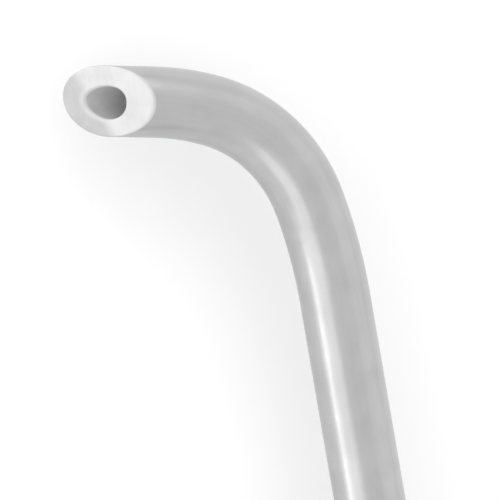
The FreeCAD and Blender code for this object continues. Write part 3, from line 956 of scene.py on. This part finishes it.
def tube_steel(finish):
    """Drawn satin steel, ground bright on the mouth's face, with painted shade on its blunted point, and
    dull in the bore.
    """
    material, tree, shader = new_steel("satin_steel")
    straight = attribute(tree, "straight_place", "Vector")
    lip = stretch(tree, attribute(tree, "lip"), 0.1, 0.5)
    throat = attribute(tree, "throat")
    drawn = place_group(tree, "tool_marks", Vector=straight, Marks=(500, 7000, 7000))["Mask"]
    ground = place_group(tree, "tool_marks", Vector=straight, Marks=(2500, 1200, 9000))["Mask"]
    lines = add_mix(tree, "FLOAT", lip, drawn, ground)
    clouds = place_group(tree, "cloudy_tone", Vector=straight, Scale=700)["Mask"]
    # Painted shade: the face's steel is darkened over its blunted point.
    face = add_mix(tree, "RGBA", attribute(tree, "painted_shade_mask"), finish.face, finish.blunt_painted_shade)
    outside = add_mix(tree, "RGBA", lip, finish.tube, face)
    colour_here = add_mix(tree, "RGBA", throat, outside, finish.bore)
    rough_outside = add_mix(tree, "FLOAT", lip, finish.tube_roughness, finish.face_roughness)
    rough_here = add_mix(tree, "FLOAT", throat, rough_outside, finish.bore_roughness)
    shade_steel(
        tree, shader, finish, lines, depth=0.0015 * MM, Color=colour_here, Roughness=rough_here,
        Clouds=clouds, Clouds_Depth=finish.clouds,
    )
    return material


def braze_silver(finish):
    """Silver braze, smooth as it froze, a little yellower and cloudier than the steel."""
    material, tree, shader = new_steel("silver_braze")
    place = object_place(tree)
    ripples = place_group(tree, "tool_marks", Vector=place, Marks=(3000, 1500, 1500))["Mask"]
    clouds = place_group(tree, "cloudy_tone", Vector=place, Scale=900)["Mask"]
    shade_steel(
        tree, shader, finish, ripples, depth=0.004 * MM, Color=finish.braze,
        Roughness=finish.braze_roughness, Clouds=clouds, Clouds_Depth=finish.braze_clouds,
    )
    return material


# Stage

def make_floor(look):
    """A wide, dull floor under the handle."""
    bm = bmesh.new()
    bmesh.ops.create_grid(
        bm, x_segments=1, y_segments=1, size=look.floor_size,
        matrix=Matrix.Translation((0, 0, FLOOR_HEIGHT)),
    )
    floor = add_object(bm, "floor")
    material = bpy.data.materials.new("floor")
    material.use_nodes = True
    shader = material.node_tree.nodes["Principled BSDF"]
    shader.inputs["Base Color"].default_value = (*look.floor, 1)
    shader.inputs["Roughness"].default_value = 0.9
    shader.inputs["Specular IOR Level"].default_value = 0
    floor.data.materials.append(material)


def make_world(scene, look):
    """Plain white light from all round."""
    world = bpy.data.worlds.new("studio")
    world.use_nodes = True
    background = world.node_tree.nodes["Background"]
    background.inputs["Color"].default_value = (1, 1, 1, 1)
    background.inputs["Strength"].default_value = look.world
    scene.world = world


def make_lamps(scene, look):
    """Broad lamps a metre from the tip, which face it and are hidden from the camera."""
    tip = Vector((TUBE_HIGH.x, 0, 0))
    # Name, azimuth and elevation in degrees, width and height in metres, radiance
    lamps = (
        ("side_lamp", 68, 6.5, 1.2, 0.235, look.side_lamp),
        ("high_lamp", 103, 32, 1.8, 0.72, look.high_lamp),
        ("front_lamp", 0, 38, 0.9, 0.6, look.front_lamp),
        ("back_lamp", -90, 35, 1.6, 0.9, look.back_lamp),
    )
    for name, azimuth, elevation, width, height, radiance in lamps:
        turned, raised = math.radians(azimuth), math.radians(elevation)
        level = Vector((math.cos(turned), math.sin(turned), 0))
        data = bpy.data.lights.new(name, "AREA")
        data.shape = "RECTANGLE"
        data.size = width
        data.size_y = height
        data.energy = radiance * math.pi * width * height
        lamp = bpy.data.objects.new(name, data)
        lamp.location = tip + level * math.cos(raised) + UP * math.sin(raised)
        lamp.rotation_euler = (tip - lamp.location).to_track_quat("-Z", "Y").to_euler()
        lamp.visible_camera = False
        scene.collection.objects.link(lamp)


def make_camera(scene, look):
    """Looks down on the tip from the photograph's side."""
    back = Vector((0, math.sin(look.lean), math.cos(look.lean)))
    low = Vector((0, math.cos(look.lean), -math.sin(look.lean)))
    along = Vector((1, 0, 0))
    right = -math.sin(look.roll) * along - math.cos(look.roll) * low
    up = math.cos(look.roll) * along - math.sin(look.roll) * low
    bend_start = Vector((NOSE_HIGH.x + scene.suction_tube_sizes.shaft, 0, 0))
    target = bend_start - look.right * right + look.down * up
    data = bpy.data.cameras.new("camera")
    data.sensor_width = 36
    data.lens = data.sensor_width * look.distance / look.width
    data.clip_start = look.distance / 10
    data.clip_end = look.distance * 100
    camera = bpy.data.objects.new("camera", data)
    turned = Matrix((right, up, back)).transposed().to_4x4()
    camera.matrix_world = Matrix.Translation(target + back * look.distance) @ turned
    scene.collection.objects.link(camera)
    scene.camera = camera


# Operators

class SUCTION_OT_tube(Operator):
    """Builds the bent suction tube"""

    bl_idname = "suction.tube"
    bl_label = "Suction tube"

    def execute(self, context):
        bm = build_tube(context.scene.suction_tube_sizes)
        steel = tube_steel(context.scene.suction_finish)
        finish_piece(bm, "drawn_tube", "suction_tube", steel)
        return {"FINISHED"}


class SUCTION_OT_nose(Operator):
    """Builds the turned nose"""

    bl_idname = "suction.nose"
    bl_label = "Nose"

    def execute(self, context):
        bm = build_nose(context.scene.suction_nose_sizes)
        finish = context.scene.suction_finish
        steel = worked_steel(
            "turned_steel", finish, finish.turned, finish.nose_roughness, marks=(9000, 30, 30)
        )
        finish_piece(bm, "nose", "nose_ferrule", steel)
        return {"FINISHED"}


class SUCTION_OT_braze(Operator):
    """Builds the fillet of braze round the tube"""

    bl_idname = "suction.braze"
    bl_label = "Braze"

    def execute(self, context):
        bm = build_braze(context.scene.suction_nose_sizes)
        silver = braze_silver(context.scene.suction_finish)
        finish_piece(bm, "braze_fillet", "tube_braze", silver)
        return {"FINISHED"}


class SUCTION_OT_handle(Operator):
    """Builds the milled handle with its grooves, saddle and port"""

    bl_idname = "suction.handle"
    bl_label = "Handle"

    def execute(self, context):
        bm = build_handle(context.scene.suction_handle_sizes)
        finish = context.scene.suction_finish
        steel = worked_steel(
            "milled_steel", finish, finish.milled, finish.milled_roughness,
            marks=(120, 5000, 5000), rubbed=False,
        )
        finish_piece(bm, "milled_handle", "handle", steel)
        return {"FINISHED"}


class SUCTION_OT_nipple(Operator):
    """Builds the barbed hose nipple"""

    bl_idname = "suction.nipple"
    bl_label = "Hose nipple"

    def execute(self, context):
        bm = build_nipple(context.scene.suction_nipple_sizes)
        finish = context.scene.suction_finish
        steel = worked_steel(
            "nipple_steel", finish, finish.turned, finish.nipple_roughness, marks=(8000, 30, 30)
        )
        finish_piece(bm, "barbed_nipple", "hose_nipple", steel)
        return {"FINISHED"}


class SUCTION_OT_stage(Operator):
    """Makes the floor, the lamps, the plain world and the camera"""

    bl_idname = "suction.stage"
    bl_label = "Stage"

    def execute(self, context):
        scene = context.scene
        look = scene.suction_stage
        scene.view_settings.view_transform = "Standard"
        make_floor(look)
        make_world(scene, look)
        make_lamps(scene, look)
        make_camera(scene, look)
        return {"FINISHED"}


PANEL_ROWS = (
    ("suction.tube", "suction_tube_sizes"),
    ("suction.nose", "suction_nose_sizes"),
    ("suction.braze", "suction_finish"),
    ("suction.handle", "suction_handle_sizes"),
    ("suction.nipple", "suction_nipple_sizes"),
    ("suction.stage", "suction_stage"),
)


class SUCTION_PT_dissector(Panel):
    """Lists the pieces, the stage and their settings"""

    bl_idname = "SUCTION_PT_dissector"
    bl_label = "Suction dissector"
    bl_space_type = "VIEW_3D"
    bl_region_type = "UI"
    bl_category = "Dissector"

    def draw(self, context):
        for operator, settings in PANEL_ROWS:
            box = self.layout.box()
            box.operator(operator)
            group = getattr(context.scene, settings)
            for name in SETTINGS[settings].__annotations__:
                box.prop(group, name)


CLASSES = (
    TubeSizes,
    NoseSizes,
    HandleSizes,
    NippleSizes,
    SteelFinish,
    StageLook,
    SUCTION_OT_tube,
    SUCTION_OT_nose,
    SUCTION_OT_braze,
    SUCTION_OT_handle,
    SUCTION_OT_nipple,
    SUCTION_OT_stage,
    SUCTION_PT_dissector,
)

SETTINGS = {
    "suction_tube_sizes": TubeSizes,
    "suction_nose_sizes": NoseSizes,
    "suction_handle_sizes": HandleSizes,
    "suction_nipple_sizes": NippleSizes,
    "suction_finish": SteelFinish,
    "suction_stage": StageLook,
}


def register():
    for cls in CLASSES:
        bpy.utils.register_class(cls)
    for name, group in SETTINGS.items():
        setattr(bpy.types.Scene, name, PointerProperty(type=group))


def unregister():
    for name in SETTINGS:
        delattr(bpy.types.Scene, name)
    for cls in reversed(CLASSES):
        bpy.utils.unregister_class(cls)


def main():
    register()
    bpy.ops.suction.tube()
    bpy.ops.suction.nose()
    bpy.ops.suction.braze()
    bpy.ops.suction.handle()
    bpy.ops.suction.nipple()
    bpy.ops.suction.stage()


if __name__ == "__main__":
    main()
